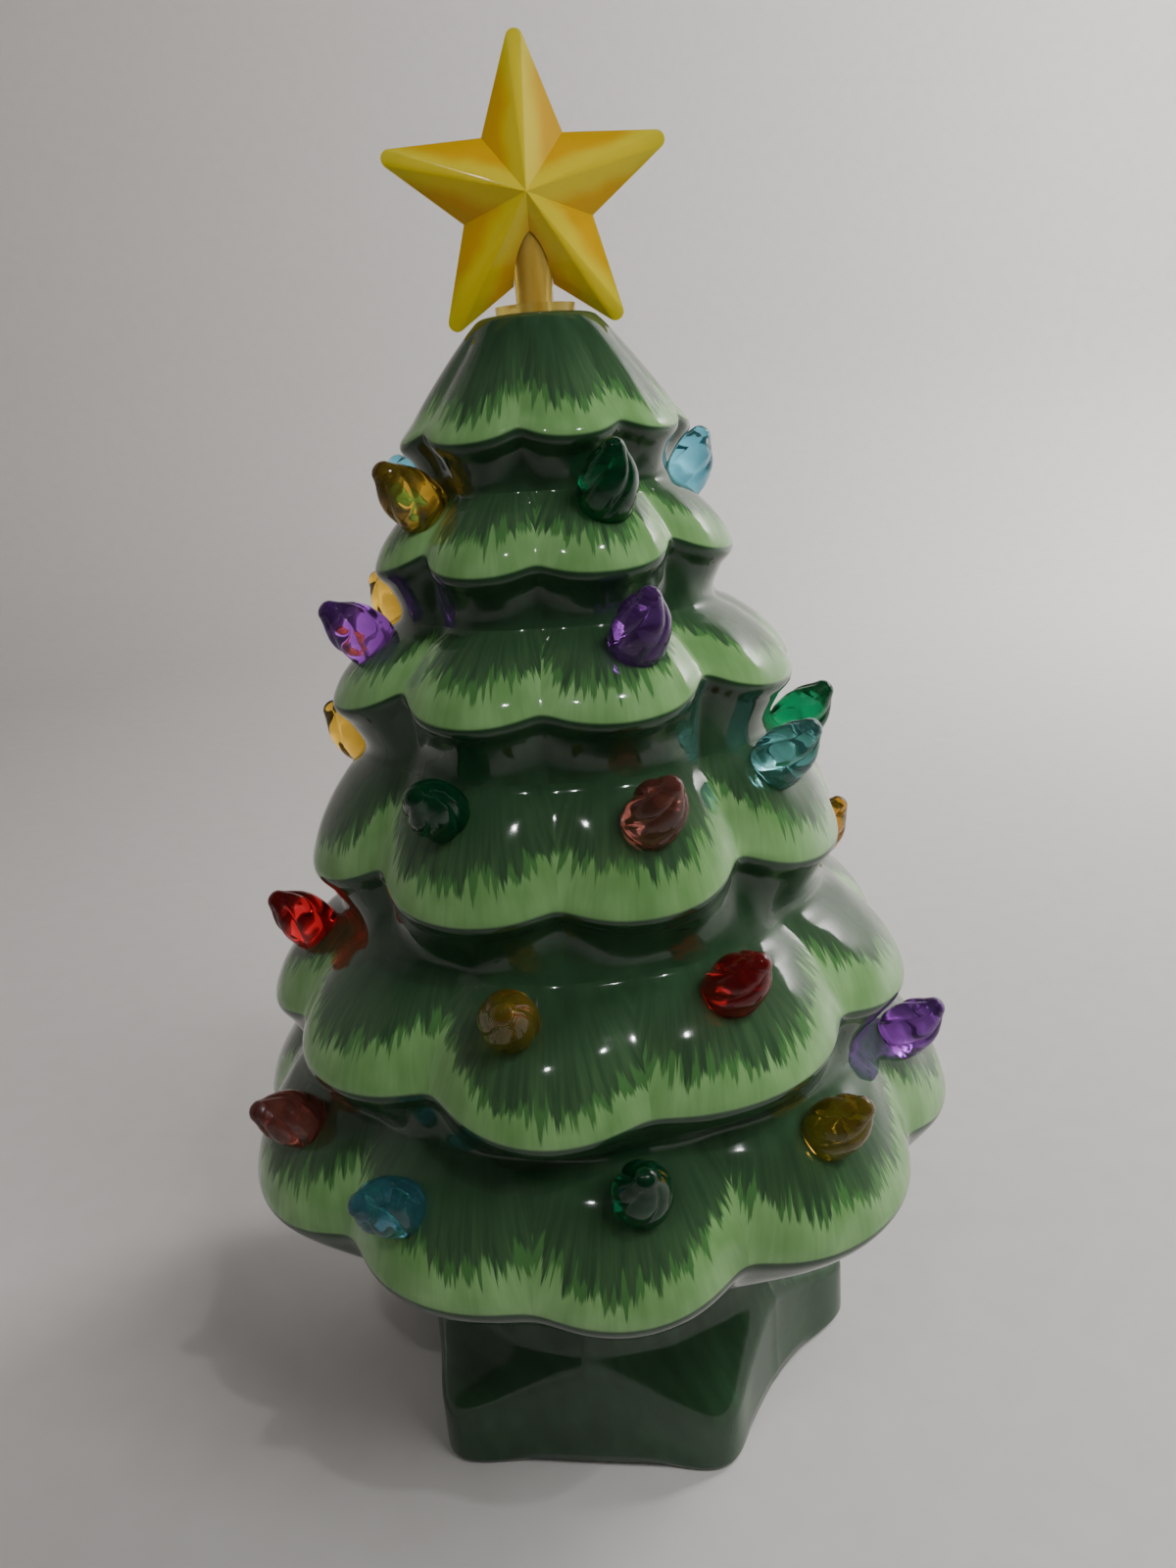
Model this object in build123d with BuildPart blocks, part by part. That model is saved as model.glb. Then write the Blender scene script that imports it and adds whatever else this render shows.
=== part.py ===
from build123d import *
from dataclasses import dataclass
from math import atan2, cos, exp, hypot, radians, sin, sqrt, tan
import os

os.makedirs("parts", exist_ok=True)

# The origin is the middle of the foot on the table, +Z is up and the front faces -Y.
# Angles run around the tree in degrees, from the front towards the right.


@dataclass
class Seat:
    """Where a bulb stands: its fall is the share of the way down the skirt, tilt and swing aim its axis."""

    angle: float
    fall: float = 0.2
    tilt: float = 46.0
    swing: float = 0.0


@dataclass
class Tier:
    """One ring of boughs: the skirt runs from its waist down and out to its rim."""

    rim_radius: float
    rim_height: float
    waist_radius: float
    waist_height: float
    bow: float
    groove_depth: float
    lift: float
    deep_grooves: tuple
    shallow_grooves: tuple
    bulbs: tuple
    swells: tuple = ()
    waist_share: float = 0.35


# Tiers of the glazed body, lowest first, with heights above the table
tiers = (
    Tier(
        rim_radius=65.0,
        rim_height=55.5,
        waist_radius=52.0,
        waist_height=75.0,
        bow=0.74,
        groove_depth=6.5,
        lift=0.4,
        deep_grooves=(-43, 19, 60, 103, 146, 189, 232, 276),
        shallow_grooves=(-11,),
        bulbs=(
            Seat(-58, tilt=34),
            Seat(-31, fall=0.36, tilt=34, swing=-14),
            Seat(5, tilt=54),
            Seat(37, tilt=47, swing=16),
            Seat(70),
            Seat(118),
            Seat(168),
            Seat(245),
        ),
        swells=((4, 1.8),),
    ),
    Tier(
        rim_radius=57.5,
        rim_height=81.5,
        waist_radius=42.5,
        waist_height=98.5,
        bow=0.72,
        groove_depth=6.0,
        lift=0.45,
        deep_grooves=(-28, 49, 90, 131, 172, 213, 253, 293),
        shallow_grooves=(7,),
        bulbs=(
            Seat(-80),
            Seat(-14, tilt=36, swing=10),
            Seat(25, tilt=47, swing=18),
            Seat(108),
            Seat(160),
            Seat(225),
        ),
        swells=((-8, 2.5),),
    ),
    Tier(
        rim_radius=46.5,
        rim_height=107.0,
        waist_radius=35.0,
        waist_height=126.0,
        bow=0.70,
        groove_depth=6.0,
        lift=0.75,
        deep_grooves=(-49, 36, 128, 220),
        shallow_grooves=(-5, 82, 174, 266),
        bulbs=(
            Seat(-107),
            Seat(-30, tilt=36, swing=6),
            Seat(15, fall=0.3, tilt=50, swing=18),
            Seat(54, swing=12),
            Seat(88),
            Seat(145),
            Seat(195),
        ),
    ),
    Tier(
        rim_radius=39.5,
        rim_height=134.0,
        waist_radius=26.5,
        waist_height=147.0,
        bow=0.70,
        groove_depth=5.5,
        lift=0.75,
        deep_grooves=(-46, 37, 128, 220),
        shallow_grooves=(-6, 82, 174, 267),
        bulbs=(
            Seat(-72, fall=0.24, tilt=42),
            Seat(20, fall=0.24, tilt=60, swing=8),
            Seat(150, fall=0.24),
            Seat(240, fall=0.24),
        ),
    ),
    Tier(
        rim_radius=30.0,
        rim_height=154.0,
        waist_radius=20.0,
        waist_height=166.0,
        bow=0.70,
        groove_depth=4.4,
        lift=0.75,
        deep_grooves=(-50, 43, 130, 220),
        shallow_grooves=(-6, 88, 175, 265),
        bulbs=(
            Seat(-60),
            Seat(20, tilt=62),
            Seat(110, tilt=58),
            Seat(172),
            Seat(242),
        ),
    ),
    Tier(
        rim_radius=23.5,
        rim_height=172.4,
        waist_radius=9.0,
        waist_height=191.0,
        bow=0.56,
        groove_depth=2.0,
        lift=1.0,
        deep_grooves=(-58, -10, 31, 72, 117, 162, 207, 255),
        shallow_grooves=(),
        bulbs=(),
        waist_share=0.0,
    ),
)

# Shape of every tier between its rim and its waist
shallow_share = 0.55
groove_spread = 9.0
groove_softness = 3.0
swell_spread = 18.0
lift_power = 1.5
neck_fall = 0.1
shoulder_fall = 0.2
brow_fall = 0.5
band_rise = 4.0
lip_inset = 2.0
lip_drop = 2.6
lip_share = 0.9
hem_inset = 7.0
hem_drop = 5.0
hem_share = 0.6
ring_points = 120
crown_round = 2.3
wall = 4.5
cavity_round = 3.0

# Trunk and the five wedge toes of the foot, each with its angle and its reach beyond the trunk
trunk_wall = 5.5
foot_rim = 5.0
toes = ((25, 11.2), (88, 16.5), (168, 14.5), (241, 14.5), (315, 13.3))
toe_valley_reach = 1.0
toe_tip_round = 4.0
toe_valley_round = 6.0
toe_tip_height = 12.5
toe_root_height = 20.0
toe_root_round = 3.0
foot_edge_round = 1.5
toe_edge_round = 1.2
toe_lean_least = 0.3
toe_level = 0.01

# Push-in bulbs
bulb_radius = 4.4
bulb_length = 11.1
bulb_sink = 0.8
bulb_petals = 5
bulb_flute = 0.11
bulb_twist = 75.0
bulb_peg_radius = 1.5
bulb_peg_length = 9.0
bulb_seat_gap = 0.3
bulb_seat_rise = 4.0
bulb_bore_length = 16.0
bulb_points = 60

# Star and its stem
star_tips = 5
star_radius = 24.5
star_inner_radius = 10.2
star_thickness = 11.0
star_band = 1.2
star_shell = 1.5
star_ridge_wall = 2.0
star_tip_round = 1.3
star_rise = 16.4
stem_radius = 2.9
stem_peg_radius = 4.0
stem_peg_length = 13.0
stem_flange_radius = 6.2
stem_flange_thickness = 1.3
stem_bore_radius = 1.7
stem_gap = 0.2

# Opening under the foot and the light unit that plugs into it
opening_length = 9.0
flange_reach = 3.0
flange_recess_depth = 2.6
flange_gap = 0.4
flange_round = 0.5
ground_gap = 0.6
unit_side_gap = 1.6
unit_wall = 1.6
unit_floor = 2.8
unit_height = 16.0
ring_groove_height = 4.0
ring_groove_width = 3.4
ring_groove_depth = 0.8
ring_gap = 0.15
ring_bore_gap = 0.25
ring_edge_round = 0.6

# Two coin cells, their well and the bayonet cover
cell_radius = 10.0
cell_height = 3.2
cell_rim_inset = 1.2
cell_step = 0.5
cover_thickness = 1.4
cover_gap = 0.25
cover_lift = 0.1
lug_wall = 1.2
lug_reach = 1.5
lug_height = 1.2
lug_angle = 30.0
lug_turn = -40.0
lug_slack = 3.0
ledge_thickness = 1.2
ledge_width = 1.2
well_wall = 1.4
well_headroom = 1.7
coin_slot_length = 12.0
coin_slot_width = 2.0
coin_slot_depth = 0.7
seal_thickness = 0.8
seal_gap = 0.1

# Circuit board, its lamps and its fasteners
board_gap = 1.2
board_thickness = 1.2
post_count = 3
post_radius = 2.2
post_overlap = 0.2
post_turn = 60.0
screw_radius = 1.0
screw_length = 7.0
screw_head_radius = 1.9
screw_head_height = 1.3
screw_gap = 0.15
screw_head_round = 0.4
screw_slot_width = 0.6
screw_slot_depth = 0.6
lamp_count = 3
lamp_circle = 9.0
lamp_turn = 30.0
lamp_radius = 2.5
lamp_height = 8.6
lamp_flat_radius = 0.3
lamp_collar_radius = 2.9
lamp_collar_height = 1.0
lamp_lead_radius = 0.3
lamp_lead_pitch = 2.54
lamp_lead_length = 1.0
chip_length = 5.0
chip_width = 4.0
chip_height = 1.6
chip_bevel = 0.3
resistor_length = 6.0
resistor_radius = 1.1
resistor_waist = 0.9
resistor_bulge = 1.4
contact_thickness = 0.5
contact_width = 5.0
contact_gap = 0.2
contact_pad_radius = 3.5
tab_width = 3.0
clip_foot_height = 1.6

# Slide switch
switch_margin = 0.9
switch_gap = 0.5
switch_width = 4.0
switch_length = 9.0
switch_height = 4.0
slider_width = 1.8
slider_length = 3.4
slider_height = 1.8
slider_gap = 0.2
slider_travel = 2.4
nub_width = 1.5
nub_length = 2.0
finger_recess_width = 5.0
finger_recess_length = 9.0
finger_recess_depth = 1.0
finger_recess_round = 1.0

# Diffuser dome over the lamps
dome_wall = 1.4
dome_skirt = 3.0
dome_rise = 11.0
dome_spigot_depth = 2.5
dome_spigot_gap = 0.2

# Radii that follow from the coin cells outwards, through the light unit to the foot
spigot_radius = cell_radius + cover_gap
lug_root_radius = spigot_radius + lug_wall
lug_radius = lug_root_radius + lug_reach
well_radius = lug_root_radius + cover_gap
lug_groove_radius = lug_radius + cover_gap
cover_recess_radius = lug_groove_radius + ledge_width
cover_radius = cover_recess_radius - cover_gap
switch_place = cover_recess_radius + switch_margin + finger_recess_width / 2
unit_inner_radius = hypot(switch_place + switch_width / 2, switch_length / 2) + switch_gap
unit_radius = unit_inner_radius + unit_wall
opening_radius = unit_radius + unit_side_gap
flange_recess_radius = opening_radius + flange_reach
flange_radius = flange_recess_radius - flange_gap
trunk_radius = flange_recess_radius + foot_rim
cavity_foot_radius = trunk_radius - trunk_wall
post_circle = lug_groove_radius + well_wall + post_radius - post_overlap
resistor_place = lamp_circle + lamp_collar_radius + resistor_radius


def around(angle, radius, height):
    """Point at an angle from the front, a radius from the axis and a height."""
    return Vector(radius * sin(radians(angle)), -radius * cos(radians(angle)), height)


def groove_pull(tier, angle):
    """How far the grooves draw the skirt in at an angle, less what a swollen bough stands out."""
    grooves = [(place, tier.groove_depth) for place in tier.deep_grooves]
    grooves += [(place, tier.groove_depth * shallow_share) for place in tier.shallow_grooves]
    pull = 0.0
    for place, depth in grooves:
        apart = abs((angle - place + 180) % 360 - 180)
        rounded = sqrt(apart**2 + groove_softness**2) - groove_softness
        pull += depth * exp(-rounded / groove_spread)
    for place, reach in tier.swells:
        apart = abs((angle - place + 180) % 360 - 180)
        pull -= reach * exp(-((apart / swell_spread) ** 2))
    return pull


def skirt_level(tier, fall):
    """Radius, height, groove share and lift at a share of the way from the waist down to the rim."""
    out = (4 * tier.bow - 1) * fall + (2 - 4 * tier.bow) * fall**2
    radius = tier.waist_radius + out * (tier.rim_radius - tier.waist_radius)
    height = tier.waist_height - fall * (tier.waist_height - tier.rim_height)
    share = 1 - (1 - tier.waist_share) * (1 - fall) ** 2
    return radius, height, share, tier.lift * fall**lift_power


def tier_levels(tier):
    """Rings of a tier, from the lip under its rim up to its waist."""
    lip = (tier.rim_radius - lip_inset, tier.rim_height - lip_drop, lip_share, tier.lift)
    band_fall = 1 - band_rise / (tier.waist_height - tier.rim_height)
    falls = (1, band_fall, brow_fall, shoulder_fall, neck_fall, 0)
    return [lip] + [skirt_level(tier, fall) for fall in falls]


def level_point(tier, level, angle):
    """Point of one ring of a tier at an angle."""
    radius, height, share, lift = level
    pull = share * groove_pull(tier, angle)
    return around(angle, radius - pull, height + lift * pull)


def closed_ring(points):
    """Closed smooth wire through evenly spaced points."""
    steps = [index / len(points) for index in range(len(points) + 1)]
    return Wire([Edge.make_spline(points, periodic=True, parameters=steps)])


def tier_ring(tier, level):
    """Scalloped ring of a tier, which rises into the grooves."""
    return closed_ring([level_point(tier, level, 360 * i / ring_points) for i in range(ring_points)])


# Glazed tree: one hollow slip-cast body with trunk, toes, bulb holes and star socket
hem_tier = tiers[0]
crown_tier = tiers[-1]
hem_height = hem_tier.rim_height - hem_drop
crown_height = crown_tier.waist_height
rings = [tier_ring(hem_tier, (hem_tier.rim_radius - hem_inset, hem_height, hem_share, 0.0))]
for tier in tiers:
    rings += [tier_ring(tier, level) for level in tier_levels(tier)]
boughs = Solid.make_loft(rings)

crown_slope = (4 * crown_tier.bow - 1) * (crown_tier.rim_radius - crown_tier.waist_radius)
crown_lean = atan2(crown_slope, crown_height - crown_tier.rim_height)
crown_tangent = crown_round * tan((radians(90) - crown_lean) / 2)
crown_start = (crown_tier.waist_radius - crown_tangent, crown_height)
crown_end = (
    crown_tier.waist_radius + crown_tangent * sin(crown_lean),
    crown_height - crown_tangent * cos(crown_lean),
)

toe_outline = []
for toe, (toe_angle, toe_reach) in enumerate(toes):
    next_angle = toes[(toe + 1) % len(toes)][0]
    valley_angle = toe_angle + (next_angle - toe_angle) % 360 / 2
    toe_outline.append(around(toe_angle, trunk_radius + toe_reach, 0))
    toe_outline.append(around(valley_angle, trunk_radius + toe_valley_reach, 0))
trunk_top = hem_height + hem_drop / 2

cavity_outline = [
    (0, opening_length),
    (cavity_foot_radius, opening_length),
    (cavity_foot_radius, hem_height),
]
for tier in tiers:
    cavity_outline.append((tier.rim_radius - tier.groove_depth - wall, tier.rim_height + lip_drop))
    waist_pull = tier.waist_share * tier.groove_depth
    cavity_outline.append((tier.waist_radius - waist_pull - wall, tier.waist_height))
cavity_top = crown_height - 2 * wall
cavity_outline[-1] = (crown_tier.waist_radius - wall, cavity_top)
cavity_outline.append((0, cavity_top))

bulb_seats = []
for row, tier in enumerate(reversed(tiers)):
    for place, seat in enumerate(tier.bulbs):
        root = level_point(tier, skirt_level(tier, seat.fall), seat.angle)
        aim = seat.angle + seat.swing
        out = around(aim, cos(radians(seat.tilt)), sin(radians(seat.tilt)))
        side = around(aim + 90, 1, 0)
        bulb_seats.append((f"bulb_row{row}_{place + 1}", Plane(origin=root, x_dir=side, z_dir=out)))

with BuildPart() as ceramic_tree:
    with BuildSketch() as foot_plan:
        Polygon(*[(corner.X, corner.Y) for corner in toe_outline], align=None)
        corners = foot_plan.vertices().sort_by(SortBy.DISTANCE)
        fillet(corners[len(toes):], radius=toe_tip_round)
        inner = foot_plan.vertices().sort_by(SortBy.DISTANCE)[:len(toes)]
        fillet(inner, radius=toe_valley_round)
    extrude(amount=trunk_top)
    for toe_angle, toe_reach in toes:
        past_tip = trunk_radius + toe_reach + toe_tip_round
        toe_fall = (toe_root_height - toe_tip_height) / toe_reach
        toe_side = Plane(
            origin=(0, 0, 0),
            x_dir=around(toe_angle, 1, 0),
            z_dir=around(toe_angle - 90, 1, 0),
        )
        with BuildSketch(toe_side) as toe_slope:
            with BuildLine():
                Polyline(
                    (trunk_radius, trunk_top),
                    (trunk_radius, toe_root_height),
                    (past_tip, toe_root_height - toe_fall * (past_tip - trunk_radius)),
                    (past_tip, trunk_top),
                    close=True,
                )
            make_face()
            root = toe_slope.vertices().sort_by(Axis.X)[:2].sort_by(Axis.Y)[0]
            fillet(root, radius=toe_root_round)
        extrude(amount=past_tip / 2, both=True, mode=Mode.SUBTRACT)
    fillet(ceramic_tree.edges().group_by(Axis.Z)[0], radius=foot_edge_round)
    flats = ceramic_tree.faces().filter_by(GeomType.PLANE)
    slopes = flats.filter_by(lambda face: toe_lean_least < face.normal_at().Z < 1 - toe_level)
    slope_edges = slopes.edges().filter_by(lambda edge: edge.center().Z < toe_root_height)
    fillet(slope_edges, radius=toe_edge_round)
    add(boughs)
    with BuildSketch(Plane.XZ):
        with BuildLine():
            crown_arc = TangentArc(crown_start, crown_end, tangent=(1, 0))
            Polyline(
                crown_end,
                (crown_end[0] + crown_round, crown_end[1]),
                (crown_end[0] + crown_round, crown_height + crown_round),
                (crown_start[0], crown_height + crown_round),
                crown_start,
            )
        make_face()
    revolve(axis=Axis.Z, mode=Mode.SUBTRACT)
    with BuildSketch(Plane.XZ) as cavity_half:
        with BuildLine():
            Polyline(*cavity_outline, close=True)
        make_face()
        bends = cavity_half.vertices().filter_by(lambda corner: corner.X > stem_peg_radius)
        fillet(bends, radius=cavity_round)
    revolve(axis=Axis.Z, mode=Mode.SUBTRACT)
    with BuildSketch():
        Circle(opening_radius)
    extrude(amount=opening_length, mode=Mode.SUBTRACT)
    with BuildSketch():
        Circle(flange_recess_radius)
    extrude(amount=flange_recess_depth, mode=Mode.SUBTRACT)
    with Locations((0, 0, crown_height)):
        Hole(stem_peg_radius + stem_gap, depth=crown_height - cavity_top + wall)
    with Locations(*[seat.offset(bulb_seat_rise) for _, seat in bulb_seats]):
        CounterBoreHole(
            radius=bulb_peg_radius + bulb_seat_gap,
            counter_bore_radius=bulb_radius + bulb_seat_gap,
            counter_bore_depth=bulb_seat_rise + bulb_sink + bulb_seat_gap,
            depth=bulb_seat_rise + bulb_bore_length,
        )
ceramic_tree.part.label = "ceramic_tree"
export_step(ceramic_tree.part, "parts/ceramic_tree.step")

# Bulb: a twisted flame of five petals that ends in a round nub, on a peg, one moulding for every hole
# Each level is a share of the length, a share of the radius and a share of the flutes' depth
bulb_levels = (
    (0.00, 0.90, 0.0),
    (0.10, 0.96, 0.4),
    (0.28, 1.00, 1.0),
    (0.45, 0.95, 1.0),
    (0.60, 0.80, 1.0),
    (0.72, 0.60, 1.0),
    (0.80, 0.44, 0.6),
    (0.87, 0.36, 0.0),
    (0.94, 0.32, 0.0),
    (0.98, 0.22, 0.0),
    (1.00, 0.08, 0.0),
)
bulb_rings = []
for share, width, flute in bulb_levels:
    height = share * bulb_length - bulb_sink
    ring = []
    for index in range(bulb_points):
        turn = 360 * index / bulb_points
        valley = 1 - abs(cos(radians(turn - bulb_twist * share) * bulb_petals / 2))
        ring.append(around(turn, width * bulb_radius * (1 - bulb_flute * flute * valley), height))
    bulb_rings.append(closed_ring(ring))
flame = Solid.make_loft(bulb_rings)

with BuildPart() as bulb:
    add(flame)
    with BuildSketch(Plane.XY.offset(-bulb_sink)):
        Circle(bulb_peg_radius)
    extrude(amount=-bulb_peg_length)
for name, seat in bulb_seats:
    placed = bulb.part.moved(seat.location)
    placed.label = name
    export_step(placed, f"parts/{name}.step")

# Star: two hollow ridged halves, glued at the seam, on a flanged stem
star_height = crown_height + star_rise
star_points = []
for corner in range(2 * star_tips):
    turn = radians(90 + 180 * corner / star_tips)
    reach = star_inner_radius if corner % 2 else star_radius
    star_points.append((reach * cos(turn), reach * sin(turn)))
half_star = star_thickness / 2
for name, facing in (("star_front", -1), ("star_back", 1)):
    seam = Plane(origin=(0, 0, star_height), x_dir=(-facing, 0, 0), z_dir=(0, facing, 0))
    with BuildSketch(seam) as band_outline:
        Polygon(*star_points, align=None)
        fillet(band_outline.vertices().sort_by(SortBy.DISTANCE)[star_tips:], radius=star_tip_round)
    with BuildSketch(seam) as hollow_outline:
        Polygon(*star_points, align=None)
        offset(amount=-star_shell, kind=Kind.INTERSECTION, mode=Mode.REPLACE)
    ridge_outline = band_outline.sketch.moved(Location(seam.z_dir * star_band / 2))
    ridge_top = Vertex(*seam.offset(half_star).origin)
    hollow_top = Vertex(*seam.offset(half_star - star_ridge_wall).origin)
    with BuildPart() as star_half:
        extrude(band_outline.sketch, amount=star_band / 2)
        loft([ridge_outline, ridge_top], ruled=True)
        loft([hollow_outline.sketch, hollow_top], ruled=True, mode=Mode.SUBTRACT)
        with BuildSketch(Plane.XY.offset(star_height - star_radius)):
            Circle(stem_radius + stem_gap)
        extrude(amount=star_radius, mode=Mode.SUBTRACT)
    star_half.part.label = name
    export_step(star_half.part, f"parts/{name}.step")

with BuildPart() as star_stem:
    with BuildSketch(Plane.XZ):
        with BuildLine():
            Polyline(
                (stem_bore_radius, crown_height - stem_peg_length),
                (stem_peg_radius, crown_height - stem_peg_length),
                (stem_peg_radius, crown_height),
                (stem_flange_radius, crown_height),
                (stem_flange_radius, crown_height + stem_flange_thickness),
                (stem_radius, crown_height + stem_flange_thickness),
                (stem_radius, star_height - stem_gap),
                (stem_bore_radius, star_height - stem_gap),
                close=True,
            )
        make_face()
    revolve(axis=Axis.Z)
star_stem.part.label = "star_stem"
export_step(star_stem.part, "parts/star_stem.step")

# Light unit's housing: a flanged cup with the cell well in its floor and posts for the board
floor_top = ground_gap + unit_floor
cover_top = ground_gap + cover_thickness
ledge_height = cover_top + cover_lift
ledge_top = ledge_height + ledge_thickness
lug_foot = ledge_top + cover_gap
lug_groove_top = lug_foot + lug_height + cover_gap
cells_top = ledge_height + 2 * cell_height
well_roof = cells_top + well_headroom
board_height = well_roof + well_wall
board_top = board_height + board_thickness
board_radius = unit_inner_radius - board_gap
post_places = PolarLocations(post_circle, post_count, start_angle=post_turn)
wedge_length = 2 * lug_radius
lug_half = wedge_length * tan(radians(lug_angle / 2))
gate_half = wedge_length * tan(radians(lug_angle / 2 + lug_slack))
clip_foot_place = cell_radius + contact_gap + contact_thickness / 2
clip_place = clip_foot_place + contact_thickness

with BuildPart() as light_base:
    with BuildSketch(Plane.XY.offset(ground_gap)):
        Circle(flange_radius)
    extrude(amount=flange_recess_depth - ground_gap)
    with BuildSketch(Plane.XY.offset(ground_gap)):
        Circle(unit_radius)
    extrude(amount=unit_height - ground_gap)
    with BuildSketch(Plane.XY.offset(floor_top)):
        Circle(unit_inner_radius)
    extrude(amount=unit_height - floor_top, mode=Mode.SUBTRACT)
    with BuildSketch(Plane.XY.offset(ground_gap)):
        Circle(lug_groove_radius + well_wall)
    extrude(amount=lug_groove_top + well_wall - ground_gap)
    with BuildSketch(Plane.XY.offset(ground_gap)):
        Circle(well_radius + well_wall)
    extrude(amount=board_height - ground_gap)
    with BuildSketch(Plane.XY.offset(floor_top)):
        with post_places:
            Circle(post_radius)
    extrude(amount=board_height - floor_top)
    with BuildSketch(Plane.XY.offset(ground_gap)):
        Circle(cover_recess_radius)
    extrude(amount=ledge_height - ground_gap, mode=Mode.SUBTRACT)
    with BuildSketch(Plane.XY.offset(ledge_height)):
        Circle(well_radius)
    extrude(amount=well_roof - ledge_height, mode=Mode.SUBTRACT)
    with BuildSketch(Plane.XY.offset(ledge_top)):
        Circle(lug_groove_radius)
    extrude(amount=lug_groove_top - ledge_top, mode=Mode.SUBTRACT)
    with BuildSketch(Plane.XY.offset(ledge_height)):
        with PolarLocations(0, 2, start_angle=lug_turn):
            Polygon((0, 0), (wedge_length, -gate_half), (wedge_length, gate_half), align=None)
        Circle(lug_groove_radius, mode=Mode.INTERSECT)
    extrude(amount=ledge_thickness, mode=Mode.SUBTRACT)
    with BuildSketch(Plane.XY.offset(ring_groove_height)):
        Circle(flange_radius)
        Circle(unit_radius - ring_groove_depth, mode=Mode.SUBTRACT)
    extrude(amount=ring_groove_width, mode=Mode.SUBTRACT)
    with BuildSketch(Plane.XY.offset(well_roof)):
        Rectangle(tab_width + 2 * contact_gap, contact_thickness + 2 * contact_gap)
        with Locations((0, clip_place)):
            Rectangle(contact_width + 2 * contact_gap, contact_thickness + 2 * contact_gap)
    extrude(amount=well_wall, mode=Mode.SUBTRACT)
    with BuildSketch(Plane.XY.offset(board_height)):
        with post_places:
            Circle(screw_radius + screw_gap)
    extrude(amount=-(screw_length - board_thickness + screw_gap), mode=Mode.SUBTRACT)
    with BuildSketch(Plane.XY.offset(ground_gap)):
        with Locations((switch_place, 0)):
            RectangleRounded(finger_recess_width, finger_recess_length, finger_recess_round)
    extrude(amount=finger_recess_depth, mode=Mode.SUBTRACT)
    with BuildSketch(Plane.XY.offset(ground_gap)):
        with Locations((switch_place, 0)):
            Rectangle(nub_width + 2 * slider_gap, nub_length + slider_travel + 2 * slider_gap)
    extrude(amount=unit_floor, mode=Mode.SUBTRACT)
    fillet(light_base.edges().group_by(Axis.Z)[0].sort_by(SortBy.LENGTH)[-1], radius=flange_round)
light_base.part.label = "light_base"
export_step(light_base.part, "parts/light_base.step")

# Soft ring in the housing's groove, which grips the opening in the foot
with BuildPart() as retaining_ring:
    with BuildSketch(Plane.XY.offset(ring_groove_height + ring_gap)):
        Circle(opening_radius - ring_bore_gap)
        Circle(unit_radius - ring_groove_depth + ring_gap, mode=Mode.SUBTRACT)
    extrude(amount=ring_groove_width - 2 * ring_gap)
    fillet(retaining_ring.edges().sort_by(SortBy.LENGTH)[-2:], radius=ring_edge_round)
retaining_ring.part.label = "retaining_ring"
export_step(retaining_ring.part, "parts/retaining_ring.step")

# Battery cover: a disc with a coin slot and two bayonet lugs, and its sealing ring
seal_circle = cover_radius - seal_thickness
seal_middle = cover_top - (seal_thickness + seal_gap) / 2
with BuildPart() as battery_cover:
    with BuildSketch(Plane.XY.offset(ground_gap)):
        Circle(cover_radius)
    extrude(amount=cover_thickness)
    with BuildSketch(Plane.XY.offset(cover_top)):
        with PolarLocations(0, 2):
            Polygon((0, 0), (wedge_length, -lug_half), (wedge_length, lug_half), align=None)
        Circle(lug_root_radius, mode=Mode.INTERSECT)
        Circle(spigot_radius, mode=Mode.SUBTRACT)
    extrude(amount=lug_foot + lug_height - cover_top)
    with BuildSketch(Plane.XY.offset(lug_foot)):
        with PolarLocations(0, 2):
            Polygon((0, 0), (wedge_length, -lug_half), (wedge_length, lug_half), align=None)
        Circle(lug_radius, mode=Mode.INTERSECT)
        Circle(spigot_radius, mode=Mode.SUBTRACT)
    extrude(amount=lug_height)
    with BuildSketch(Plane.XY.offset(cover_top)):
        Circle(seal_circle + seal_thickness / 2 + seal_gap)
        Circle(seal_circle - seal_thickness / 2 - seal_gap, mode=Mode.SUBTRACT)
    extrude(amount=-(seal_thickness + seal_gap), mode=Mode.SUBTRACT)
    with BuildSketch(Plane.XY.offset(ground_gap)):
        SlotOverall(coin_slot_length, coin_slot_width)
    extrude(amount=coin_slot_depth, mode=Mode.SUBTRACT)
battery_cover.part.label = "battery_cover"
export_step(battery_cover.part, "parts/battery_cover.step")

with BuildPart() as cover_seal:
    with BuildSketch(Plane.XZ):
        with Locations((seal_circle, seal_middle)):
            Circle(seal_thickness / 2)
    revolve(axis=Axis.Z)
cover_seal.part.label = "cover_seal"
export_step(cover_seal.part, "parts/cover_seal.step")

# Coin cells, stacked with their narrower negative caps up
cell_feet = (("coin_cell_lower", ledge_height), ("coin_cell_upper", ledge_height + cell_height))
for name, cell_foot in cell_feet:
    with BuildPart() as coin_cell:
        with BuildSketch(Plane.XY.offset(cell_foot)):
            Circle(cell_radius)
        extrude(amount=cell_height - cell_step)
        fillet(coin_cell.edges().group_by(Axis.Z)[-1], radius=cell_step)
        with BuildSketch(Plane.XY.offset(cell_foot)):
            Circle(cell_radius - cell_rim_inset)
        extrude(amount=cell_height)
    coin_cell.part.label = name
    export_step(coin_cell.part, f"parts/{name}.step")

# Contacts: a pad over the upper cell and a clip at the lower cell's side, both up to the board
with BuildPart() as negative_contact:
    with BuildSketch(Plane.XY.offset(cells_top)):
        Circle(contact_pad_radius)
    extrude(amount=contact_thickness)
    with BuildSketch(Plane.XY.offset(cells_top)):
        Rectangle(tab_width, contact_thickness)
    extrude(amount=board_height - cells_top)
negative_contact.part.label = "negative_contact"
export_step(negative_contact.part, "parts/negative_contact.step")

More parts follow.
